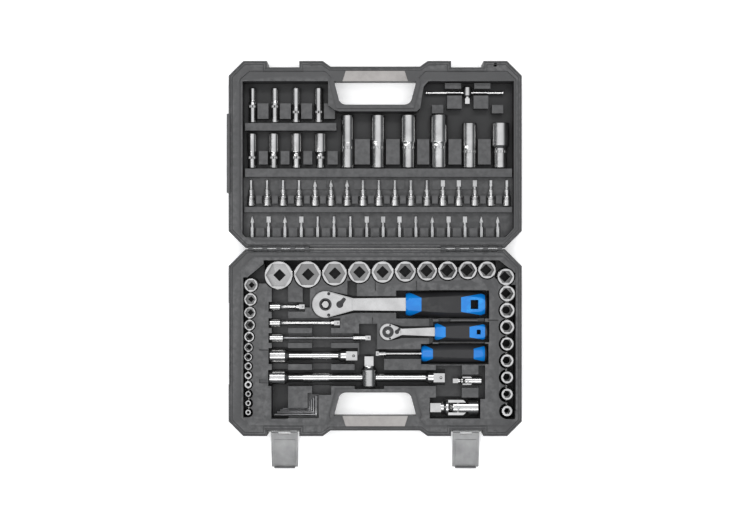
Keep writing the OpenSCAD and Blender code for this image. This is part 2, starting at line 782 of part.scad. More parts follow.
t_bar_at = [72.8, 358.1, lid_floor + 7];
t_slider_x = 132.5;
t_bar_d = 5;
module t_bar() color(chrome)
    x_axis(t_bar_at)
        turned([
            [0, 0], [t_bar_d / 2 + 0.6, 0], [t_bar_d / 2 + 0.6, 2], [t_bar_d / 2, 3],
            [t_bar_d / 2, t_bar_len - 3], [t_bar_d / 2 + 0.6, t_bar_len - 2],
            [t_bar_d / 2 + 0.6, t_bar_len], [0, t_bar_len]
        ]);
module t_bar_slider() color(chrome) {
    translate([t_slider_x, t_bar_at[1], t_bar_at[2]])
        difference() {
            rotate([90, 0, 0]) {
                translate([0, 0, -9])
                    turned([
                        [0, 0], [5, 0], [6.5, 1.5], [6.5, 13], [4.8, 15], [4.8, 17], [0, 17]
                    ]);
                translate([0, 0, 7.9])
                    square_end(small_sq, 8, 2);
            }
            rotate([0, 90, 0])
                cylinder(d = t_bar_d + 2 * run_clear, h = 30, center = true);
        }
}

// ---- Universal joints ----
// Both yokes reach past the cross. ear is half the width of the ears of the socket yoke.
module cross_body(d) {
    b = d * 0.21;
    pin = d * 0.22;
    translate([-b, -b, -b])
        cube(2 * b);
    cylinder(d = pin, h = d * 0.94, center = true);
    rotate([90, 0, 0])
        cylinder(d = pin, h = d * 0.94, center = true);
}

// Half width of a yoke's ears and half the slot between them, in joint diameters
ear_half = 0.22;
slot_half = 0.295;
module yoke_ears(d, web) {
    // ears above and below the cross, joined by a web at +X
    difference() {
        intersection() {
            x_axis([-d * 0.6, 0, 0])
                cylinder(d = d, h = d * 0.6 + web + 0.01);
            union() {
                sphere(d = d * 1.16);
                translate([0, -d, -d])
                    cube([web + 1, 2 * d, 2 * d]);
            }
        }
        for (s = [-1, 1])
            translate([-d, s > 0 ? d * ear_half : -d * (1 + ear_half), -d])
                cube([d + web - d * 0.12, d, 2 * d]);
        translate([-d, -d, -d * slot_half])
            cube([d + web - d * 0.12, 2 * d, 2 * d * slot_half]);
        cylinder(d = d * 0.22 + 2 * run_clear, h = 2 * d, center = true);
    }
}

module socket_yoke(d, sq, l) {
    web = d * 0.72;
    difference() {
        union() {
            yoke_ears(d, web);
            x_axis([web, 0, 0])
                turned([[0, 0], [d / 2, 0], [d / 2, l - web - 1], [d / 2 - 1, l - web], [0, l - web]]);
        }
        s = sq + drive_clear;
        x_axis([l - sq * 1.3, 0, 0])
            translate([-s / 2, -s / 2, 0])
                cube([s, s, sq * 2]);
    }
}

module square_yoke(d, sq, l) {
    web = d * 0.72;
    rotate([90, 0, 180]) {
        yoke_ears(d, web);
        x_axis([web, 0, 0])
            turned([[0, 0], [d / 2, 0], [sq * 0.72, d * 0.16], [sq * 0.72, l - web - sq * 1.2],
                    [0, l - web - sq * 1.2]]);
        x_axis([l - sq * 1.2 - 0.01, 0, 0])
            square_end(sq, sq * 1.2, sq * 0.3);
    }
}

module big_joint_socket_yoke() color(chrome)
    translate(big_joint_at) socket_yoke(big_joint_d, big_sq, 29);
module big_joint_cross() color(zinc)
    translate(big_joint_at) cross_body(big_joint_d);
module big_joint_square_yoke() color(chrome)
    translate(big_joint_at) square_yoke(big_joint_d, big_sq, 39.8);
module small_joint_socket_yoke() color(chrome)
    translate(small_joint_at) socket_yoke(small_joint_d, small_sq, 19.7);
module small_joint_cross() color(zinc)
    translate(small_joint_at) cross_body(small_joint_d);
module small_joint_square_yoke() color(chrome)
    translate(small_joint_at) square_yoke(small_joint_d, small_sq, 21.5);

// ---- Ratchets ----
button_travel = 1.2;
// Distance of the lever's pivot from the gear's axis, in head radii
pivot_at = 1.08;
// A ratchet lies along +X with its gear's axis on Z, and its details follow its head's radius r.
function gear_r(k) = 0.56 * k;

// Plan of the taper from the round head to the neck: its sides touch the head's circle
function taper_plan(r, reach, neck) =
    let (turn = atan2(neck / 2, reach) + acos(r / norm([reach, neck / 2])))
    [
        [0, 0], [r * cos(turn), -r * sin(turn)], [reach, -neck / 2],
        [reach, neck / 2], [r * cos(turn), r * sin(turn)]
    ];

// plan holds the reach of the taper, the neck's width, and the shank's end and width
module ratchet_body(r, t, plan, tang_d, tang_end) {
    bore = gear_r(r) + run_clear;
    reach = plan[0];
    neck = plan[1];
    difference() {
        union() {
            translate([0, 0, -t / 2])
                cylinder(r = r, h = t, $fn = 72);
            prism(taper_plan(r, reach, neck), -t / 2 + 0.6, t / 2 - 0.6);
            prism([
                [reach - 1, -neck / 2], [plan[2], -plan[3] / 2], [plan[2], plan[3] / 2], [reach - 1, neck / 2]
            ], -t * 0.36, t * 0.36);
            x_axis([plan[2] - 0.01, 0, 0])
                cylinder(d = tang_d, h = tang_end - plan[2]);
        }
        translate([0, 0, -t / 2 - 1])
            cylinder(r = bore * 0.82, h = t + 2);
        translate([0, 0, -t / 2 + 2])
            cylinder(r = bore, h = t);
        // pocket of the pawl, between gear and lever
        translate([r * pivot_at, 0, -t / 2 + 2])
            cylinder(r = r * 0.5, h = t);
        for (s = [-1, 1])
            translate([r * 0.25, s * r * 0.8, -t / 2 + 3])
                cylinder(d = r * 0.14, h = t);
    }
}

module ratchet_cover(r, t, ct, plan) {
    difference() {
        union() {
            translate([0, 0, t / 2])
                cylinder(r = r - 0.6, h = ct, $fn = 72);
            prism(taper_plan(r - 0.6, plan[0] - 2, plan[1] - 1.2), t / 2, t / 2 + ct);
        }
        translate([0, 0, t / 2 - 1])
            cylinder(r = gear_r(r) * 0.62, h = ct + 2);
        translate([r * pivot_at, 0, t / 2 - 1])
            cylinder(r = r * 0.16 + run_clear, h = ct + 2);
        for (s = [-1, 1])
            translate([r * 0.25, s * r * 0.8, t / 2 - 1])
                cylinder(d = r * 0.14 + 0.2, h = ct + 2);
    }
}

module ratchet_screws(r, t, ct) {
    for (s = [-1, 1])
        translate([r * 0.25, s * r * 0.8, 0])
            difference() {
                union() {
                    translate([0, 0, -t / 2 + 3.4])
                        cylinder(d = r * 0.14, h = t - 3.4 + ct);
                    translate([0, 0, t / 2 + ct])
                        cylinder(d = r * 0.24, h = 0.8);
                }
                translate([-r, -0.25, t / 2 + ct + 0.4])
                    cube([2 * r, 0.5, 1]);
            }
}

// Toothed gear with the square drive below it and a bore for the release button
module ratchet_gear(r, t, sq, teeth) {
    gr = gear_r(r);
    difference() {
        union() {
            translate([0, 0, -t / 2 + 2.1])
                difference() {
                    cylinder(r = gr, h = t - 2.3);
                    for (i = [0 : teeth - 1])
                        rotate([0, 0, i * 360 / teeth])
                            translate([gr, 0, -1])
                                rotate([0, 0, 45])
                                    cube([gr * 0.13, gr * 0.13, t * 3], center = true);
                }
            translate([0, 0, -t / 2 - 1])
                cylinder(r = gr * 0.8, h = 3.2);
            mirror([0, 0, 1])
                translate([0, 0, t / 2 + 0.9])
                    square_end(sq, sq * 1.15, sq * 0.3);
        }
        translate([0, 0, -t / 2 - sq * 0.5])
            cylinder(d = sq * 0.42 + 2 * run_clear, h = t * 3);
        translate([0, 0, -t * 0.1])
            cylinder(r = gr * 0.56, h = t);
    }
}

module ratchet_button(r, t, ct, sq) {
    translate([0, 0, t / 2 + ct - 1.4])
        turned([
            [0, 0], [gear_r(r) * 0.5, 0], [gear_r(r) * 0.5, 1.6], [gear_r(r) * 0.42, 2.2], [0, 2.2]
        ]);
    translate([0, 0, -t * 0.4])
        cylinder(d = sq * 0.42, h = t * 0.9 + ct - 1.4);
}

// Coil spring round the button's stem, drawn as stacked rings at its pressed length
module ratchet_spring(r, t, ct, sq) {
    low = -t * 0.1 + button_travel + 0.2;
    high = t / 2 + ct - 1.4;
    wire = 0.8;
    turns = 4;
    for (i = [0 : turns - 1])
        translate([0, 0, low + wire / 2 + i * (high - low - wire) / (turns - 1)])
            rotate_extrude()
                translate([sq * 0.21 + 0.2 + wire / 2, 0])
                    circle(d = wire, $fn = 16);
}

module ratchet_lever(r, t, ct) {
    translate([r * pivot_at, 0, 0]) {
        translate([0, 0, t / 2 - 1.5])
            cylinder(r = r * 0.16, h = ct + 1.9);
        translate([0, 0, t / 2 + ct + 0.4]) {
            cylinder(r = r * 0.26, h = r * 0.1);
            rotate([0, 0, 50])
                prism([
                    [0, -r * 0.2], [r * 0.58, -r * 0.12], [r * 0.62, 0], [r * 0.58, r * 0.12], [0, r * 0.2]
                ], 0, r * 0.13);
        }
    }
}

module ratchet_pawl(r, t) {
    translate([r * pivot_at, 0, -t / 2 + 2.2])
        intersection() {
            cylinder(r = r * 0.45, h = t - 4);
            translate([-r * 0.4, -r, 0])
                cube([r * 0.52, 2 * r, t]);
        }
}

// Outer shape of a grip: turned on its width and flattened to its thickness
module grip_body(x0, x1, w, t) {
    len = x1 - x0;
    intersection() {
        x_axis([x0, 0, 0])
            turned([
                [0, 0], [w * 0.4, 0], [w * 0.44, len * 0.03], [w * 0.45, len * 0.12],
                [w * 0.485, len * 0.33], [w * 0.5, len * 0.55], [w * 0.5, len * 0.75],
                [w * 0.47, len * 0.92], [w * 0.4, len * 0.98], [w * 0.3, len], [0, len]
            ]);
        box(x0 - 1, x1 + 1, -w, w, -t / 2, t / 2);
    }
}

// Plan of the core's two inlays, at the collar and at the end
module grip_inlays(x0, x1, w, t, collar, end_len) {
    prism([
        [x0 - 1, -w * 0.46], [x0 + collar * 0.2, -w * 0.46], [x0 + collar, -w * 0.25],
        [x0 + collar, w * 0.25], [x0 + collar * 0.2, w * 0.46], [x0 - 1, w * 0.46]
    ], -t, t);
    prism([
        [x1 - end_len, -w * 0.27], [x1 - end_len * 0.85, -w * 0.3], [x1 - end_len * 0.25, -w * 0.4],
        [x1 - 4, -w * 0.36], [x1 - 4, w * 0.36], [x1 - end_len * 0.25, w * 0.4],
        [x1 - end_len * 0.85, w * 0.3], [x1 - end_len, w * 0.27]
    ], -t, t);
}

// Hard core of a grip: a bar inside the sleeve, and the two inlays that show through it
module handle_core(x0, x1, w, t, tang_d, collar, end_len, hole) {
    difference() {
        union() {
            x_axis([x0, 0, 0])
                cylinder(r = t * 0.33, h = x1 - x0 - 6);
            intersection() {
                grip_body(x0, x1, w, t);
                grip_inlays(x0, x1, w, t, collar, end_len);
            }
        }
        x_axis([x0 - 1, 0, 0])
            cylinder(d = tang_d, h = (x1 - x0) * 0.55);
        if (hole > 0)
            box(x1 - end_len * 0.5 - hole, x1 - end_len * 0.5 + hole, -hole * 1.2, hole * 1.2, -t, t);
    }
}

module handle_sleeve(x0, x1, w, t, collar, end_len) {
    difference() {
        grip_body(x0, x1, w, t);
        grip_inlays(x0, x1, w, t, collar, end_len);
        x_axis([x0 - 1, 0, 0])
            cylinder(r = t * 0.33, h = x1 - x0 - 5);
    }
}

big_t = 16;
big_ct = 1.8;
big_plan = [40, 17, grip_start - big_ratchet_at[0], 18.5];
big_grip_t = 30;
big_tang_d = 14;
module big_ratchet_body() color(chrome)
    translate(big_ratchet_at)
        ratchet_body(big_head_r, big_t, big_plan, big_tang_d, big_plan[2] + (grip_end - grip_start) * 0.5);
module big_ratchet_cover() color(chrome)
    translate(big_ratchet_at) ratchet_cover(big_head_r, big_t, big_ct, big_plan);
module big_ratchet_screws() color(zinc)
    translate(big_ratchet_at) ratchet_screws(big_head_r, big_t, big_ct);
module big_ratchet_gear() color(chrome)
    translate(big_ratchet_at) ratchet_gear(big_head_r, big_t, big_sq, 24);
module big_ratchet_button() color(chrome)
    translate(big_ratchet_at) ratchet_button(big_head_r, big_t, big_ct, big_sq);
module big_ratchet_spring() color(zinc)
    translate(big_ratchet_at) ratchet_spring(big_head_r, big_t, big_ct, big_sq);
module big_ratchet_lever() color(rubber)
    translate(big_ratchet_at) ratchet_lever(big_head_r, big_t, big_ct);
module big_ratchet_pawl() color(zinc)
    translate(big_ratchet_at) ratchet_pawl(big_head_r, big_t);
module big_handle_core() color(blue)
    translate([0, big_ratchet_at[1], big_axis])
        handle_core(grip_start, grip_end, big_grip_w, big_grip_t, big_tang_d, 22, 38, 5.4);
module big_handle_sleeve() color(rubber)
    translate([0, big_ratchet_at[1], big_axis])
        handle_sleeve(grip_start, grip_end, big_grip_w, big_grip_t, 22, 38);

small_t = 10;
small_ct = 1.4;
small_grip_start = 85;
small_plan = [20, 8.6, small_grip_start - small_ratchet_at[0], 12.5];
small_grip_t = 20;
small_tang_d = 9;
module small_ratchet_body() color(chrome)
    translate(small_ratchet_at)
        ratchet_body(small_head_r, small_t, small_plan, small_tang_d,
            small_plan[2] + (grip_end - small_grip_start) * 0.5);
module small_ratchet_cover() color(chrome)
    translate(small_ratchet_at) ratchet_cover(small_head_r, small_t, small_ct, small_plan);
module small_ratchet_screws() color(zinc)
    translate(small_ratchet_at) ratchet_screws(small_head_r, small_t, small_ct);
module small_ratchet_gear() color(chrome)
    translate(small_ratchet_at) ratchet_gear(small_head_r, small_t, small_sq, 20);
module small_ratchet_button() color(chrome)
    translate(small_ratchet_at) ratchet_button(small_head_r, small_t, small_ct, small_sq);
module small_ratchet_spring() color(zinc)
    translate(small_ratchet_at) ratchet_spring(small_head_r, small_t, small_ct, small_sq);
module small_ratchet_lever() color(rubber)
    translate(small_ratchet_at) ratchet_lever(small_head_r, small_t, small_ct);
module small_ratchet_pawl() color(zinc)
    translate(small_ratchet_at) ratchet_pawl(small_head_r, small_t);
module small_handle_core() color(blue)
    translate([0, small_ratchet_at[1], small_axis])
        handle_core(small_grip_start, grip_end, small_grip_w, small_grip_t, small_tang_d, 15, 26, 2.8);
module small_handle_sleeve() color(rubber)
    translate([0, small_ratchet_at[1], small_axis])
        handle_sleeve(small_grip_start, grip_end, small_grip_w, small_grip_t, 15, 26);

spin_grip_start = 66;
spin_tang_d = 6;
module spinner_shaft() color(chrome)
    x_axis(spinner_at) {
        cylinder(d = spin_tang_d, h = spin_grip_start - spinner_at[0] + (grip_end - spin_grip_start) * 0.5);
        translate([0, 0, 4])
            cylinder(d = small_end_d - 2, h = 10);
        mirror([0, 0, 1])
            translate([0, 0, -5])
                square_end(small_sq, 5, 2);
    }
module spinner_core() color(blue)
    translate([0, spinner_at[1], spin_axis])
        handle_core(spin_grip_start, grip_end, spin_grip_d, spin_grip_d - 2, spin_tang_d, 16, 20, 0);
module spinner_sleeve() color(rubber)
    translate([0, spinner_at[1], spin_axis])
        handle_sleeve(spin_grip_start, grip_end, spin_grip_d, spin_grip_d - 2, 16, 20);

// ---- Sockets ----
// A hex socket standing on its square end: af across flats, od at the drive end, nose at the hex end
module socket(af, od, nose, h, sq) {
    step = h * 0.45;
    s = sq + drive_clear;
    depth = min(h * 0.5, af * 0.8 + 4);
    difference() {
        turned([
            [0, 0], [od / 2 - 0.8, 0], [od / 2, 0.8], [od / 2, step - 3.4],
            [od / 2 - 0.5, step - 3], [od / 2 - 0.5, step - 1.6], [od / 2, step - 1.2],
            [od / 2, step], [nose / 2, step + (od - nose) / 2 + 0.01], [nose / 2, h - 0.8],
            [nose / 2 - 0.8, h], [0, h]
        ]);
        translate([0, 0, h - depth])
            cylinder(d = af / cos(30), h = depth + 1, $fn = 6);
        translate([0, 0, sq * 1.2])
            cylinder(d = min(af, sq) * 0.84, h = h);
        rotate([0, 0, 45])
            box(-s / 2, s / 2, -s / 2, s / 2, -1, sq * 1.25);
    }
}

module half_inch_sockets() color(chrome)
    for (i = [0 : len(big_sizes) - 1])
        translate([big_at(i)[0], big_at(i)[1], top + 0.8 - big_h(i)])
            socket(big_sizes[i], big_ods[i], big_nose[i], big_h(i), big_sq);

module bit_adapter() color(chrome)
    translate([adapter_at[0], adapter_at[1], top + 0.8 - socket_h])
        socket(8, adapter_d, 16, socket_h, big_sq);

module quarter_inch_sockets() color(chrome)
    for (i = [0 : len(small_sizes) - 1])
        translate([small_at(i)[0], small_at(i)[1], top + 0.8 - small_h])
            socket(small_sizes[i], small_od(i), small_nose(i), small_h, small_sq);

// A long socket lying along +Y with its hex end towards +Y
module deep_socket(af, drive_d, nose, l, sq, ring) {
    s = sq + drive_clear;
    d1 = drive_d / 2;
    rotate([-90, 0, 0])
        difference() {
            turned([
                [0, 0], [d1 - 0.8, 0], [d1, 0.8], [d1, ring - 2.5], [d1 - 0.6, ring - 2],
                [d1 - 0.6, ring], [d1, ring + 0.5], [d1, ring + 4],
                [nose / 2, ring + 8], [nose / 2, l - 0.8], [nose / 2 - 0.8, l], [0, l]
            ]);
            translate([0, 0, l * 0.55])
                cylinder(d = af / cos(30), h = l, $fn = 6);
            translate([0, 0, sq])
                cylinder(d = min(af, sq) * 0.84, h = l);
            translate([-s / 2, -s / 2, -1])
                cube([s, s, sq * 1.25 + 1]);
        }
}

quarter_deep = [[[6, 12, 9.4], [7, 12, 10.6], [8, 12.4, 11.8], [9, 12.6, 13]],
                [[10, 12.6, 14.4], [11, 12.6, 15.6], [12, 12.6, 16.8], [13, 12.6, 17.8]]];
module quarter_deep_sockets() color(chrome)
    for (row = [0, 1])
        for (i = [0 : 3])
            let (q = quarter_deep[row][i], d = max(q[1], q[2]))
                translate([deep_x[row][i], row == 0 ? row1_y : row2_y, lid_floor + d / 2])
                    deep_socket(q[0], q[1], q[2], deep_small_len, small_sq, row == 0 && i < 2 ? 24 : 16);

module half_deep_sockets() color(chrome)
    for (i = [0 : 3])
        let (od = half_deep_od[i], drive_d = max(20, od - 3.5))
            translate([half_deep_x + i * half_deep_pitch, row2_y, lid_floor + max(od, drive_d) / 2])
                deep_socket([13, 15, 17, 19][i], drive_d, od, half_deep_len, big_sq, 30);

module spark_plug_sockets() color(chrome)
    for (i = [0, 1])
        translate([spark_x[i], row2_y, lid_floor + spark_od[i] / 2])
            deep_socket([16, 21][i], [21, 20][i], spark_od[i], spark_len, big_sq, 24);

module spark_plug_inserts() color(rubber)
    for (i = [0, 1])
        translate([spark_x[i], row2_y + spark_len * 0.55 + 0.01, lid_floor + spark_od[i] / 2])
            rotate([-90, 0, 0])
                difference() {
                    cylinder(d = [15.8, 20.8][i], h = 14);
                    translate([0, 0, -1])
                        cylinder(d = [10, 14][i], h = 16);
                }

// ---- Bits ----
hex_af = 6.35;
module bit_tip(kind, l) {
    // tips: 0 crossed, 1 flat, 2 hexagon, 3 splined, 4 square
    if (kind == 0)
        intersection() {
            cylinder(d1 = 5.4, d2 = 1.2, h = l);
            union() {
                translate([-4, -0.7, 0])
                    cube([8, 1.4, l]);
                translate([-0.7, -4, 0])
                    cube([1.4, 8, l]);
            }
        }
    if (kind == 1)
        translate([-2.9, -0.5, 0])
            cube([5.8, 1, l]);
    if (kind == 2)
        cylinder(d = 4.8, h = l, $fn = 6);
    if (kind == 3)
        union() {
            cylinder(d = 4.6, h = l, $fn = 6);
            rotate([0, 0, 30])
                cylinder(d = 4.6, h = l, $fn = 6);
        }
    if (kind == 4)
        translate([-1.7, -1.7, 0])
            cube([3.4, 3.4, l]);
}

bit_kinds = [0, 1, 0, 1, 2, 3, 2, 1, 1, 1, 3, 0, 1, 1, 0, 0];
module screwdriver_bits() color(chrome)
    for (i = [0 : 15])
        translate([bit_x + i * bit_pitch, row4_y, bit_floor + hex_af / 2])
            rotate([-90, 0, 0]) {
                cylinder(d = hex_af / cos(30), h = 14, $fn = 6);
                translate([0, 0, 13.9])
                    cylinder(d1 = 5.6, d2 = 4.6, h = 7);
                translate([0, 0, 20.8])
                    bit_tip(bit_kinds[i], bit_len - 20.8);
            }

socket_bit_kinds = [2, 2, 2, 2, 0, 0, 0, 3, 3, 3, 3, 3, 1, 1, 1, 4, 4];
bit_body_d = 11.6;
module bit_socket_bodies() color(chrome)
    for (i = [0 : 16])
        translate([bit_socket_x + i * bit_socket_pitch, row3_y, bit_floor + bit_body_d / 2])
            rotate([-90, 0, 0])
                difference() {
                    turned([
                        [0, 0], [bit_body_d / 2 - 0.6, 0], [bit_body_d / 2, 0.6],
                        [bit_body_d / 2, 9], [bit_body_d / 2 - 0.6, 9.6], [bit_body_d / 2 - 0.6, 11],
                        [bit_body_d / 2, 11.6], [bit_body_d / 2, 14], [4.3, 17], [4.3, 23], [0, 23]
                    ]);
                    s = small_sq + drive_clear;
                    translate([-s / 2, -s / 2, -1])
                        cube([s, s, 10]);
                    translate([0, 0, 14])
                        cylinder(d = 5, h = 12);
                }

module bit_socket_bits() color(zinc)
    for (i = [0 : 16])
        translate([bit_socket_x + i * bit_socket_pitch, row3_y, bit_floor + bit_body_d / 2])
            rotate([-90, 0, 0]) {
                translate([0, 0, 14])
                    cylinder(d = 5, h = 14);
                translate([0, 0, 27.9])
                    bit_tip(socket_bit_kinds[i], bit_socket_len - 27.9);
            }

// ---- Hex keys: nested L shapes, the largest outside ----
key_sizes = [1.5, 2, 2.5, 3];
key_widths = [for (k = key_sizes) k / cos(30)];
key_gap = 0.35;
function key_step(i) = sum_to(key_widths, i) + key_widths[i] / 2 + i * key_gap;
module hex_keys() color(rubber)
    for (i = [0 : 3])
        let (w = key_widths[i], y = key_at[1] + 5 - key_step(i), x = key_corner_x + key_step(i))
            translate([0, 0, key_at[2] - 3.4 + w / 2]) {
                x_axis([key_at[0] + (3 - i) * 4, y, 0])
                    cylinder(d = w, h = x + w / 2 - key_at[0] - (3 - i) * 4, $fn = 6);
                translate([x, y - w / 2, 0])
                    rotate([-90, 0, 0])
                        cylinder(d = w, h = -76 - y + w / 2 - (3 - i) * 2.5, $fn = 6);
            }

base_shell();
base_tray();
base_grip_pad();
hinge_pins();
latch_pins();
lid_shell();
lid_tray();
lid_grip_pad();
left_latch();
right_latch();
big_ratchet_body();
big_ratchet_cover();
big_ratchet_screws();
big_ratchet_gear();
big_ratchet_button();
big_ratchet_spring();
big_ratchet_lever();
big_ratchet_pawl();
big_handle_core();
big_handle_sleeve();
small_ratchet_body();
small_ratchet_cover();
small_ratchet_screws();
small_ratchet_gear();
small_ratchet_button();
small_ratchet_spring();
small_ratchet_lever();
small_ratchet_pawl();
small_handle_core();
small_handle_sleeve();
spinner_shaft();
spinner_core();
spinner_sleeve();
extension_50();
extension_100();
flex_extension_ends();
flex_extension_cable();
extension_125();
extension_250();
t_head();
t_bar();
t_bar_slider();
big_joint_socket_yoke();
big_joint_cross();
big_joint_square_yoke();
small_joint_socket_yoke();
small_joint_cross();
small_joint_square_yoke();
half_inch_sockets();
bit_adapter();
quarter_inch_sockets();
quarter_deep_sockets();
half_deep_sockets();
spark_plug_sockets();
spark_plug_inserts();
bit_socket_bodies();
bit_socket_bits();
screwdriver_bits();
hex_keys();
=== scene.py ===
"""Socket wrench set lying in its open case: finishes, rounded pieces, light and camera."""
import json
from math import atan2, cos, hypot, pi, radians, sin

import bmesh
import bpy
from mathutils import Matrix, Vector
from mathutils.bvhtree import BVHTree


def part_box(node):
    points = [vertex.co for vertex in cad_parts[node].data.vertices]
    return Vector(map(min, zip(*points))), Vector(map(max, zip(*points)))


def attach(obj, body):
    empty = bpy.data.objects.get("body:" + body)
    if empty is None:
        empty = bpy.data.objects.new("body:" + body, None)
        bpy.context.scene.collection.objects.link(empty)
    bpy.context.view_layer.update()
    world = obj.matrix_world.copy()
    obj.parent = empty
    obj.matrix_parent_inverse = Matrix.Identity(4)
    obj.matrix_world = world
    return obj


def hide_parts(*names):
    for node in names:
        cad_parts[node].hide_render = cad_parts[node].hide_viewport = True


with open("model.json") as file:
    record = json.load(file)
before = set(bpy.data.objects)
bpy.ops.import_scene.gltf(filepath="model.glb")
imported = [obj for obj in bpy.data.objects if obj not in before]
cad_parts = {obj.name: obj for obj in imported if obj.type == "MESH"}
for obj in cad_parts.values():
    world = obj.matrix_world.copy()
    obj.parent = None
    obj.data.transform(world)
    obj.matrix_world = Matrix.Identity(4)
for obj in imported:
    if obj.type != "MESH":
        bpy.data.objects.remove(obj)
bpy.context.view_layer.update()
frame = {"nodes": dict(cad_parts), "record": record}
NODES = frame["nodes"]
BODY_OF = {node: body for body, nodes in frame["record"]["behaviour"]["bodies"].items() for node in nodes}
MM = 0.001


# ---------------------------------------------------------------- camera, light and floor
CAMERA_DISTANCE = 2.0
SEEN_WIDTH = 1.062  # how much of the tools' plane the frame takes in
OVER_X, OVER_Y = -0.0017, 0.109


def set_camera():
    """Looks straight down on the open case, with the lid at the top."""
    low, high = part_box("base_tray")
    tool_plane = low.z + (high.z - low.z) * 0.96
    data = bpy.data.cameras.new("camera")
    data.sensor_width = 36.0
    data.lens = data.sensor_width * CAMERA_DISTANCE / SEEN_WIDTH
    camera = bpy.data.objects.new("camera", data)
    camera.location = (OVER_X, OVER_Y, tool_plane + CAMERA_DISTANCE)
    bpy.context.scene.collection.objects.link(camera)
    bpy.context.scene.camera = camera


def area_light(name, size, power, place, aim, mirrored=True):
    """A soft box; mirrored=False keeps its own shape out of the shiny metal."""
    data = bpy.data.lights.new(name, "AREA")
    data.shape = "RECTANGLE"
    data.size, data.size_y = size
    data.energy = power
    light = bpy.data.objects.new(name, data)
    light.location = place
    light.rotation_euler = (Vector(aim) - Vector(place)).to_track_quat("-Z", "Y").to_euler()
    light.visible_glossy = mirrored
    light.visible_camera = False
    bpy.context.scene.collection.objects.link(light)


# The sky from the level of the floor up: dark at the sides, so that round chrome gets dark edges
SKY = [
    (0.0, (0.1, 0.105, 0.11)),
    (0.5, (0.1, 0.105, 0.11)),
    (0.66, (0.2, 0.205, 0.21)),
    (0.84, (0.84, 0.85, 0.87)),
    (1.0, (1.0, 1.01, 1.03)),
]


def set_light():
    """One broad soft box overhead, three strips for the metal to mirror, and the sky."""
    middle = (0, 0.11, 0)
    area_light("overhead", (1.7, 1.3), 23, (0, 0.15, 1.9), middle, mirrored=False)
    area_light("rear_strip", (1.4, 0.22), 5, (0, 1.0, 1.5), middle)
    area_light("front_strip", (1.4, 0.3), 4, (0, -0.75, 1.5), middle)
    area_light("left_strip", (0.25, 1.5), 4, (-1.15, 0.1, 1.2), middle)
    world = bpy.data.worlds.new("studio")
    world.use_nodes = True
    tree = world.node_tree
    sky = tree.nodes["Background"]
    ray = tree.nodes.new("ShaderNodeTexCoord").outputs["Generated"]
    height = tree.nodes.new("ShaderNodeSeparateXYZ")
    tree.links.new(ray, height.inputs["Vector"])
    fade = tree.nodes.new("ShaderNodeValToRGB")
    stops = fade.color_ramp.elements
    for up, _ in SKY[1:-1]:
        stops.new(up)
    for stop, (_, colour) in zip(stops, SKY):
        stop.color = (*colour, 1)
    tree.links.new(height.outputs["Z"], fade.inputs["Fac"])
    tree.links.new(fade.outputs["Color"], sky.inputs["Color"])
    sky.inputs["Strength"].default_value = 1.0
    bpy.context.scene.world = world
    bpy.context.scene.view_settings.view_transform = "Standard"


FLOOR_REACH, FLOOR_DROP = 4, 0.0002


def set_floor(material):
    """A wide floor just under the case's feet."""
    mesh = bpy.data.meshes.new("floor")
    bm = bmesh.new()
    bmesh.ops.create_grid(bm, x_segments=1, y_segments=1, size=FLOOR_REACH)
    bmesh.ops.translate(bm, verts=bm.verts, vec=(0, 0, -FLOOR_DROP))
    bm.to_mesh(mesh)
    bm.free()
    mesh.materials.append(material)
    floor = bpy.data.objects.new("floor", mesh)
    bpy.context.scene.collection.objects.link(floor)


# ---------------------------------------------------------------- shared shader groups
def new_group(name, inputs, outputs):
    """An empty shader group with number inputs, each with its usual value, and number outputs."""
    group = bpy.data.node_groups.new(name, "ShaderNodeTree")
    for label, value in inputs:
        socket = group.interface.new_socket(name=label, in_out="INPUT", socket_type="NodeSocketFloat")
        socket.default_value = value
    for label in outputs:
        group.interface.new_socket(name=label, in_out="OUTPUT", socket_type="NodeSocketFloat")
    return group, group.nodes.new("NodeGroupInput"), group.nodes.new("NodeGroupOutput")


def noise(tree, vector, scale, detail, roughness=0.5):
    """A noise mask; scale is a number or another node's output."""
    node = tree.nodes.new("ShaderNodeTexNoise")
    node.inputs["Detail"].default_value = detail
    node.inputs["Roughness"].default_value = roughness
    tree.links.new(vector, node.inputs["Vector"])
    if isinstance(scale, (int, float)):
        node.inputs["Scale"].default_value = scale
    else:
        tree.links.new(scale, node.inputs["Scale"])
    return node.outputs["Fac"]


def remap(tree, value, low, high, to_low=0.0, to_high=1.0):
    node = tree.nodes.new("ShaderNodeMapRange")
    node.inputs["From Min"].default_value = low
    node.inputs["From Max"].default_value = high
    node.inputs["To Min"].default_value = to_low
    node.inputs["To Max"].default_value = to_high
    tree.links.new(value, node.inputs["Value"])
    return node.outputs["Result"]


def arithmetic(tree, operation, a, b):
    """The result of two values, each a number or another node's output."""
    node = tree.nodes.new("ShaderNodeMath")
    node.operation = operation
    for socket, value in zip(node.inputs, (a, b)):
        if isinstance(value, (int, float)):
            socket.default_value = value
        else:
            tree.links.new(value, socket)
    return node.outputs["Value"]


def object_point(tree):
    return tree.nodes.new("ShaderNodeTexCoord").outputs["Object"]


def make_grain():
    """Moulded texture: fine pits for the height and a soft cloud for the colour."""
    inputs = [("Pit Scale", 1400), ("Cloud Scale", 18)]
    group, given, out = new_group("moulded_grain", inputs, ["Height", "Cloud"])
    point = object_point(group)
    fine = noise(group, point, given.outputs["Pit Scale"], 2.0)
    coarse = arithmetic(group, "MULTIPLY", noise(group, point, 420, 2.0), 0.4)
    group.links.new(arithmetic(group, "ADD", fine, coarse), out.inputs["Height"])
    cloud = noise(group, point, given.outputs["Cloud Scale"], 4.0)
    group.links.new(remap(group, cloud, 0.3, 0.7), out.inputs["Cloud"])
    return group


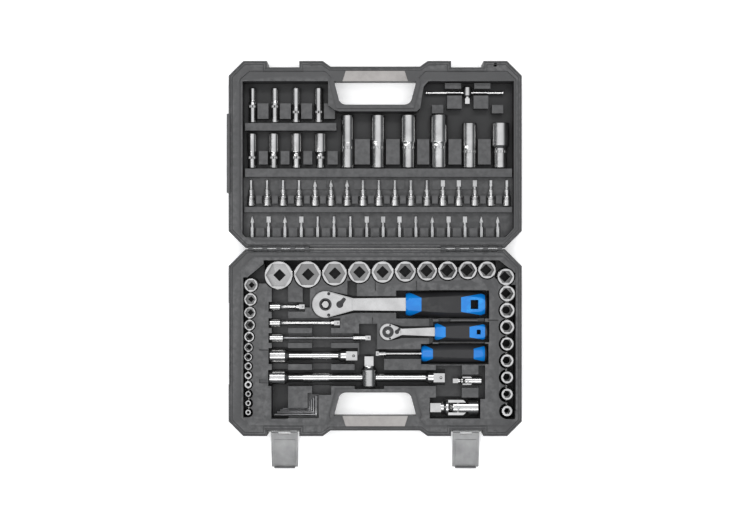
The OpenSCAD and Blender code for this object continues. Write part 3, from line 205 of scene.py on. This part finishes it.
def make_scuffs():
    """Fine handling scratches and wear on raised edges."""
    group, given, out = new_group("scuffs", [("Scale", 60), ("Wear", 0.5)], ["Scratches", "Edges"])
    point = object_point(group)
    stretch = group.nodes.new("ShaderNodeMapping")
    stretch.inputs["Scale"].default_value = (1, 14, 6)
    stretch.inputs["Rotation"].default_value = (0.3, 0.2, 0.7)
    group.links.new(point, stretch.inputs["Vector"])
    lines = noise(group, stretch.outputs["Vector"], given.outputs["Scale"], 5.0, 0.65)
    group.links.new(remap(group, lines, 0.56, 0.72), out.inputs["Scratches"])
    bend = group.nodes.new("ShaderNodeNewGeometry").outputs["Pointiness"]
    raised = remap(group, bend, 0.52, 0.62)
    broken = remap(group, noise(group, point, 160, 4.0), 0.35, 0.65)
    worn = arithmetic(group, "MULTIPLY", arithmetic(group, "MULTIPLY", raised, broken), given.outputs["Wear"])
    group.links.new(worn, out.inputs["Edges"])
    return group


# ---------------------------------------------------------------- finishes
class Finish:
    """One material being built: its tree, its Principled shader and a few ways to feed it."""

    def __init__(self, name, color, metallic, roughness):
        self.material = bpy.data.materials.new(name)
        self.material.use_nodes = True
        self.tree = self.material.node_tree
        self.shader = self.tree.nodes["Principled BSDF"]
        self.shader.inputs["Base Color"].default_value = (*color, 1)
        self.shader.inputs["Metallic"].default_value = metallic
        self.shader.inputs["Roughness"].default_value = roughness
        self.material.diffuse_color = (*color, 1)

    def place(self, group, **values):
        node = self.tree.nodes.new("ShaderNodeGroup")
        node.node_tree = group
        for label, value in values.items():
            node.inputs[label.replace("_", " ")].default_value = value
        return node

    def colour_between(self, mask, dark, light):
        mix = self.tree.nodes.new("ShaderNodeMix")
        mix.data_type = "RGBA"
        mix.inputs["A"].default_value = (*dark, 1)
        mix.inputs["B"].default_value = (*light, 1)
        self.tree.links.new(mask, mix.inputs["Factor"])
        return mix.outputs["Result"]

    def blend_over(self, mask, under, over):
        mix = self.tree.nodes.new("ShaderNodeMix")
        mix.data_type = "RGBA"
        self.tree.links.new(under, mix.inputs["A"])
        mix.inputs["B"].default_value = (*over, 1)
        self.tree.links.new(mask, mix.inputs["Factor"])
        return mix.outputs["Result"]

    def colour(self, value):
        self.tree.links.new(value, self.shader.inputs["Base Color"])

    def roughness(self, value):
        self.tree.links.new(value, self.shader.inputs["Roughness"])

    def bump(self, height, distance):
        node = self.tree.nodes.new("ShaderNodeBump")
        node.inputs["Distance"].default_value = distance
        node.inputs["Strength"].default_value = 1.0
        self.tree.links.new(height, node.inputs["Height"])
        self.tree.links.new(node.outputs["Normal"], self.shader.inputs["Normal"])


def painted_shade(finish):
    """The painted shade of a face: how deep inside its own pockets and holes it lies, measured once on the
    mesh.
    """
    node = finish.tree.nodes.new("ShaderNodeAttribute")
    node.attribute_name = "painted_shade"
    return node.outputs["Fac"]


SCRATCH_DEPTH = 0.00001
POCKET_PAINTED_SHADE, BORE_PAINTED_SHADE = 0.3, 0.06  # painted shade: what is left of the dark tone at the bottom of a pocket or a bore


def plastic(name, dark, light, worn, rough, pit_scale=1400, pit_depth=0.00006):
    """Moulded plastic or rubber, cloudy between two tones, worn paler on its edges, with painted shade down
    its pockets.
    """
    finish = Finish(name, light, 0.0, rough)
    grain = finish.place(GRAIN, Pit_Scale=pit_scale)
    scuffs = finish.place(SCUFFS, Wear=0.55)
    tone = finish.colour_between(grain.outputs["Cloud"], dark, light)
    scratched = arithmetic(finish.tree, "MULTIPLY", scuffs.outputs["Scratches"], 0.18)
    marked = arithmetic(finish.tree, "MAXIMUM", scuffs.outputs["Edges"], scratched)
    # Painted shade: the plastic darkens down its pockets and at the foot of raised lines.
    painted_pocket_shade = remap(finish.tree, painted_shade(finish), 0.1, 1.0)
    shade = [c * POCKET_PAINTED_SHADE for c in dark]
    finish.colour(finish.blend_over(painted_pocket_shade, finish.blend_over(marked, tone, worn), shade))
    finish.roughness(remap(finish.tree, grain.outputs["Cloud"], 0, 1, rough - 0.05, rough + 0.07))
    finish.bump(grain.outputs["Height"], pit_depth)
    return finish.material


def metal(name, dark, light, smooth, dull):
    """Bright metal with fine scratches, its roughness between smooth and dull, with painted shade inside its
    bores.
    """
    finish = Finish(name, light, 1.0, smooth)
    grain = finish.place(GRAIN, Pit_Scale=900, Cloud_Scale=45)
    scuffs = finish.place(SCUFFS, Scale=90, Wear=0.3)
    tone = finish.colour_between(grain.outputs["Cloud"], dark, light)
    # Painted shade: the metal darkens deep inside its bores.
    painted_bore_shade = remap(finish.tree, painted_shade(finish), 0.55, 1.0)
    finish.colour(finish.blend_over(painted_bore_shade, tone, [c * BORE_PAINTED_SHADE for c in dark]))
    half_scratched = arithmetic(finish.tree, "MULTIPLY", scuffs.outputs["Scratches"], 0.5)
    half_clouded = arithmetic(finish.tree, "MULTIPLY", grain.outputs["Cloud"], 0.5)
    marked = arithmetic(finish.tree, "ADD", half_scratched, half_clouded)
    finish.roughness(remap(finish.tree, marked, 0, 1, smooth, dull))
    finish.bump(scuffs.outputs["Scratches"], SCRATCH_DEPTH)
    return finish.material


def floor_paint():
    finish = Finish("studio_floor", (0.9, 0.9, 0.9), 0.0, 0.7)
    grain = finish.place(GRAIN, Pit_Scale=300, Cloud_Scale=3)
    finish.colour(finish.colour_between(grain.outputs["Cloud"], (0.9, 0.9, 0.9), (0.93, 0.93, 0.93)))
    finish.shader.inputs["Emission Color"].default_value = (1, 1, 1, 1)
    finish.shader.inputs["Emission Strength"].default_value = 0.3
    return finish.material


GRAIN = make_grain()
SCUFFS = make_scuffs()
FINISHES = {
    "case_plastic": plastic("charcoal_case", (0.04, 0.0402, 0.0415), (0.06, 0.0603, 0.0618),
                            (0.13, 0.13, 0.132), 0.48),
    "grip_pad": plastic("grey_grip_pad", (0.25, 0.238, 0.23), (0.34, 0.325, 0.315),
                        (0.42, 0.4, 0.39), 0.6, 800, 0.0002),
    "galvanised": metal("galvanised_steel", (0.27, 0.27, 0.27), (0.42, 0.42, 0.42), 0.3, 0.5),
    "handle_blue": plastic("blue_grip", (0.0, 0.13, 0.46), (0.0, 0.19, 0.6),
                           (0.01, 0.32, 0.75), 0.34, 2200, 0.00002),
    "handle_black": plastic("black_rubber", (0.012, 0.012, 0.013), (0.022, 0.022, 0.024),
                            (0.05, 0.05, 0.05), 0.5, 1100),
    "black_steel": metal("dark_tool_steel", (0.22, 0.22, 0.22), (0.34, 0.34, 0.35), 0.3, 0.5),
    "chrome": metal("chrome_plate", (0.54, 0.535, 0.53), (0.7, 0.695, 0.69), 0.12, 0.3),
}
BIT_STEEL = metal("bit_steel", (0.42, 0.42, 0.42), (0.6, 0.6, 0.6), 0.42, 0.6)
BLACKENED = ("big_ratchet_lever", "small_ratchet_lever", "big_ratchet_screws", "small_ratchet_screws")
SLOT_OF = {part["node"]: part["material_slot"] for part in frame["record"]["subparts"]}
FINISH_OF = {node: FINISHES[SLOT_OF[node]] for node in NODES}
FINISH_OF.update({node: BIT_STEEL for node in ("screwdriver_bits", "bit_socket_bits")})
FINISH_OF.update({node: FINISHES["handle_black"] for node in BLACKENED})


# ---------------------------------------------------------------- case outlines, in millimetres
def inset(points, by):
    """A closed outline drawn in by a distance, each corner mitred."""
    drawn = []
    for before, corner, after in zip(points[-1:] + points[:-1], points, points[1:] + points[:1]):
        into = (Vector(corner) - Vector(before)).normalized()
        out = (Vector(after) - Vector(corner)).normalized()
        normal = Vector((-into.y, into.x)) + Vector((-out.y, out.x))
        drawn.append(Vector(corner) + normal * (2 * by / normal.length_squared))
    return drawn


def mirrored(right_side):
    """A closed outline from its right side, listed from the hinge outwards."""
    return [(-x, y) for x, y in right_side][::-1] + right_side


def loop_of(bm, corners):
    """A closed loop of edges through the corners."""
    verts = [bm.verts.new(corner) for corner in corners]
    return [bm.edges.new(pair) for pair in zip(verts, verts[1:] + verts[:1])]


def skin(bm, loops):
    """Joins each loop to the next, and the last to the first, into a closed band that faces outwards."""
    faces = []
    for one, two in zip(loops, loops[1:] + loops[:1]):
        faces += bmesh.ops.bridge_loops(bm, edges=one + two)["faces"]
    bmesh.ops.recalc_face_normals(bm, faces=faces)


def loop_band(bm, points, width, height, z):
    """A low band with sloping sides that stands on z, with painted shade at its foot, and follows a closed
    outline.
    """
    slope = min(width * 0.3, height)
    layer = bm.verts.layers.float["painted_shade"]
    loops = []
    for by, top in ((0, 0), (slope, height), (width - slope, height), (width, 0)):
        loops.append(loop_of(bm, [(p.x * MM, p.y * MM, (z + top) * MM) for p in inset(points, by)]))
        for edge in loops[-1]:
            # painted shade: the foot corners get full shade, the top corners none
            edge.verts[0][layer] = edge.verts[1][layer] = 0 if top else 1
    skin(bm, loops)


# ---------------------------------------------------------------- pieces
def settle(piece_name, bm, node, material):
    """Turns a finished bmesh into a piece that rides with its node's body."""
    mesh = bpy.data.meshes.new(piece_name)
    bm.to_mesh(mesh)
    bm.free()
    mesh.materials.append(material)
    piece = bpy.data.objects.new(piece_name, mesh)
    bpy.context.scene.collection.objects.link(piece)
    mesh.shade_smooth()
    mesh.set_sharp_from_angle(angle=radians(32))
    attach(piece, BODY_OF[node])
    return piece


def joined_copy(node, heights=None):
    """A copy of a node's mesh with its loose triangles merged and its flat faces whole."""
    bm = bmesh.new()
    bm.from_mesh(NODES[node].data)
    bmesh.ops.remove_doubles(bm, verts=bm.verts, dist=2e-6)
    bmesh.ops.dissolve_limit(bm, angle_limit=radians(0.8), verts=bm.verts, edges=bm.edges)
    if heights:
        measure_painted_shade_by_depth(bm, *heights)
    else:
        measure_painted_shade_by_rays(bm)
    return bm


UP = Vector((0, 0, 1))
RAY_RINGS = ((0.25, 3), (0.8, 6), (1.2, 7))
RAY_REACH, RAY_START = 0.045, 0.00002


def ray_spread():
    """Rays round the upward direction: rings of a few, each ring tilted further out."""
    rays = []
    for tilt, count in RAY_RINGS:
        for i in range(count):
            turn = 2 * pi * i / count + tilt
            rays.append(Vector((cos(turn) * sin(tilt), sin(turn) * sin(tilt), cos(tilt))))
    return rays


SPREAD = ray_spread()


def measure_painted_shade_by_rays(bm):
    """Stores for each face, as painted shade, the share of outward rays that soon meet the same mesh."""
    layer = bm.faces.layers.float.new("painted_shade")
    tree = BVHTree.FromBMesh(bm)
    bm.normal_update()
    largest = {}
    for corners in bm.calc_loop_triangles():
        a, b, c = (loop.vert.co for loop in corners)
        area, middle = (b - a).cross(c - a).length, (a + b + c) / 3
        if area > largest.get(corners[0].face, (0, None))[0]:
            largest[corners[0].face] = (area, middle)
    for face, (area, middle) in largest.items():
        turn = UP.rotation_difference(face.normal)
        start = middle + face.normal * RAY_START
        met = sum(tree.ray_cast(start, turn @ ray, RAY_REACH)[0] is not None for ray in SPREAD)
        face[layer] = met / len(SPREAD)


def measure_painted_shade_by_depth(bm, lit, dark):
    """Stores for each corner, as painted shade, how far it lies down the pockets of a tray, between two
    heights.
    """
    layer = bm.verts.layers.float.new("painted_shade")
    for vert in bm.verts:
        vert[layer] = min(1, max(0, (lit - vert.co.z / MM) / (lit - dark)))


def soften(piece, width):
    bevel = piece.modifiers.new("rounded_edges", "BEVEL")
    bevel.width = width
    bevel.segments = 2
    bevel.limit_method = "ANGLE"
    bevel.angle_limit = radians(34)
    bevel.use_clamp_overlap = True
    flat = piece.modifiers.new("flat_faces_stay_flat", "WEIGHTED_NORMAL")
    flat.weight = 90
    flat.keep_sharp = True


def rounded(node, width, bm):
    """The piece that stands for a node, its edges rounded by a width in millimetres."""
    piece = settle(node + "_rounded", bm, node, FINISH_OF[node])
    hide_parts(node)
    soften(piece, width * MM)


HINGE = next(joint for joint in frame["record"]["behaviour"]["joints"] if joint["name"] == "lid_hinge")
HINGE_LINE, RIM_MEETS = (place / MM for place in HINGE["pos_m"][1:])
RIM_TOP = RIM_MEETS - 0.9
SUNK = 0.02  # how far a raised line's foot goes under the face it stands on
HINGE_CORNER, FRONT_CORNER = 24, 21
LATCH_NOTCH = (108, 154, 9)
GRIP_SHOULDER = (63.5, 74.5, 8)


def rim_side():
    """The right side of a half's rim from the hinge to the grip, across and out from the hinge line."""
    low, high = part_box("base_shell")
    side, near, far = high.x / MM, HINGE_LINE - high.y / MM, HINGE_LINE - low.y / MM
    notch_in, notch_out, notch_deep = LATCH_NOTCH
    shoulder_in, shoulder_out, shoulder_deep = GRIP_SHOULDER
    return [
        (side - HINGE_CORNER, near), (side, near + HINGE_CORNER),
        (side, far - FRONT_CORNER), (side - FRONT_CORNER, far),
        (notch_out, far), (notch_out, far - notch_deep), (notch_in, far - notch_deep), (notch_in, far),
        (shoulder_out, far), (shoulder_in, far - shoulder_deep),
    ]


def in_half(points, side):
    """Places an outline measured from the hinge line in the base (-1) or the lid (1)."""
    placed = [Vector((x, HINGE_LINE + side * v)) for x, v in points]
    return placed if side > 0 else placed[::-1]


def ring_of(x, v, radius, count):
    turns = [2 * pi * i / count for i in range(count)]
    return [(x + radius * cos(turn), v + radius * sin(turn)) for turn in turns]


def block_of(x, v, length, depth):
    return [(x - length / 2, v - depth / 2), (x + length / 2, v - depth / 2),
            (x + length / 2, v + depth / 2), (x - length / 2, v + depth / 2)]


def moulded_lines(bm, side):
    """The rim's double border and the small moulded signs, as raised lines."""
    rim = in_half(mirrored(rim_side()), side)
    loop_band(bm, inset(rim, 0.6), 2.1, 0.8, RIM_TOP - SUNK)
    loop_band(bm, inset(rim, 4.2), 1.5, 0.5, RIM_TOP - SUNK)
    for x, length in ((-87, 10), (79, 14)):
        loop_band(bm, in_half(block_of(x, 262.3, length, 4.2), side), 0.7, 0.4, RIM_TOP - SUNK)
    loop_band(bm, in_half(ring_of(170.8, 261.3, 3.1, 24), side), 0.8, 0.4, RIM_TOP - SUNK)
    return bm


def add_dial(name, node, button, radius, width):
    """A thin black ring on a ratchet's cover, round its quick-release button."""
    low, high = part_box(button)
    middle = (low + high) / (2 * MM)
    bm = bmesh.new()
    # the shade layer carries the painted shade at the ring's foot
    bm.verts.layers.float.new("painted_shade")
    loop_band(bm, ring_of(middle.x, middle.y, radius, 48), width, 0.3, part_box(node)[1].z / MM - SUNK)
    settle(name, bm, node, FINISHES["handle_black"])


def islands(bm):
    """The separate solids of a mesh, each as a set of corners."""
    left, found = set(bm.verts), []
    while left:
        group, waiting = set(), [next(iter(left))]
        while waiting:
            vert = waiting.pop()
            if vert not in group:
                group.add(vert)
                waiting += [edge.other_vert(vert) for edge in vert.link_edges]
        left -= group
        found.append(group)
    return found


# Along the socket, out from the groove's bottom, and how deep the teeth are cut, in millimetres
GRIP_RING = ((-2.1, -0.2, 0), (-1.5, 1.3, 0.5), (1.5, 1.3, 0.5), (2.1, -0.2, 0))
TEETH = 20
GROOVE_REACH = 1.2


def groove_radius(group, x, y, z):
    """The socket's radius at y, or None where it has no edge near there."""
    near = [hypot(v.co.x - x, v.co.z - z) for v in group if abs(v.co.y - y) < GROOVE_REACH * MM]
    return max(near, default=None)


def toothed_ring(bm, x, y, z, radius):
    loops = []
    for along, out, cut in GRIP_RING:
        corners = []
        for i in range(2 * TEETH):
            r = radius + (out - cut * (i % 2)) * MM
            turn = pi * i / TEETH
            corners.append((x + r * cos(turn), y + along * MM, z + r * sin(turn)))
        loops.append(loop_of(bm, corners))
    skin(bm, loops)


def add_grip_rings(bm, places):
    """A toothed ring over the groove of each long socket that lies along Y; places are distances to try."""
    for group in islands(bm):
        x, z = ((min(v.co[i] for v in group) + max(v.co[i] for v in group)) / 2 for i in (0, 2))
        low = min(v.co.y for v in group)
        for y in (low + place * MM for place in places):
            radius = groove_radius(group, x, y, z)
            if radius:
                toothed_ring(bm, x, y, z, radius)
                break
    return bm


PASSAGE_SHARE = 0.42  # the round passage's radius over the drive's width
ROOM_SHARE = 0.6  # the least half-width of a hexagon that gets a square, over the drive's width
SQUARE_SHARE = 0.66  # the widest square's half-width, over the hexagon's half-width
NEARLY = 0.0001  # metres


def square_the_passages(bm, drive):
    """Opens the round passage above each upright socket's drive hole out to a turned square."""
    for group in islands(bm):
        x, y = ((min(v.co[i] for v in group) + max(v.co[i] for v in group)) / 2 for i in (0, 1))
        top = max(v.co.z for v in group)
        away = {v: hypot(v.co.x - x, v.co.y - y) for v in group}
        hexagon = cos(pi / 6) * min(r for v, r in away.items() if v.co.z > top - NEARLY)
        if hexagon < drive * ROOM_SHARE:
            continue
        half = min(drive / 2, hexagon * SQUARE_SHARE)
        for vert, r in away.items():
            if abs(r - drive * PASSAGE_SHARE) < NEARLY:
                turn = atan2(vert.co.y - y, vert.co.x - x) + pi / 4
                out = half / (max(abs(cos(turn)), abs(sin(turn))) * r)
                vert.co.x, vert.co.y = x + (vert.co.x - x) * out, y + (vert.co.y - y) * out
    return bm


def rounded_tray(node, side, heights, width):
    """A tray whose rim lies a little below the line where the halves meet, so its raised lines clear."""
    bm = joined_copy(node, heights)
    for vert in bm.verts:
        if abs(vert.co.z - RIM_MEETS * MM) < NEARLY / 10:
            vert.co.z = RIM_TOP * MM
    rounded(node, width, moulded_lines(bm, side))


# How far each node's edges are rounded, in millimetres; the rest take SMALL_EDGE
SMALL_EDGE, SOCKET_EDGE = 0.2, 0.3
EDGE = {
    "base_shell": 1.2, "lid_shell": 1.2, "base_tray": 0.7, "lid_tray": 0.7,
    "base_grip_pad": 0.6, "lid_grip_pad": 0.6, "left_latch": 0.3, "right_latch": 0.3,
    "big_handle_core": 0.8, "big_handle_sleeve": 2.0, "small_handle_core": 0.6, "small_handle_sleeve": 1.5,
    "spinner_core": 0.6, "spinner_sleeve": 1.5,
    "big_ratchet_body": 1.0, "small_ratchet_body": 0.7, "big_ratchet_cover": 0.4, "small_ratchet_cover": 0.3,
}
# Each tray's side of the hinge, and the heights between which painted shade darkens its pockets
TRAYS = {"base_tray": (-1, (43, 27)), "lid_tray": (1, (30, 13))}
# Where a long socket's groove may lie, from its drive end
GRIP_RINGS = {
    "quarter_deep_sockets": (15.2, 23.2),
    "half_deep_sockets": (29.2,),
    "spark_plug_sockets": (23.2,),
}
DRIVE_OF = {"half_inch_sockets": 0.0127, "quarter_inch_sockets": 0.00635}
for node in NODES:
    if node in TRAYS:
        rounded_tray(node, *TRAYS[node], EDGE[node])
    elif node in GRIP_RINGS:
        rounded(node, SMALL_EDGE, add_grip_rings(joined_copy(node), GRIP_RINGS[node]))
    elif node in DRIVE_OF:
        rounded(node, SOCKET_EDGE, square_the_passages(joined_copy(node), DRIVE_OF[node]))
    else:
        rounded(node, EDGE.get(node, SMALL_EDGE), joined_copy(node))

add_dial("big_ratchet_dial", "big_ratchet_cover", "big_ratchet_button", 8.9, 3.0)
add_dial("small_ratchet_dial", "small_ratchet_cover", "small_ratchet_button", 8.2, 4.3)

set_camera()
set_light()
set_floor(floor_paint())
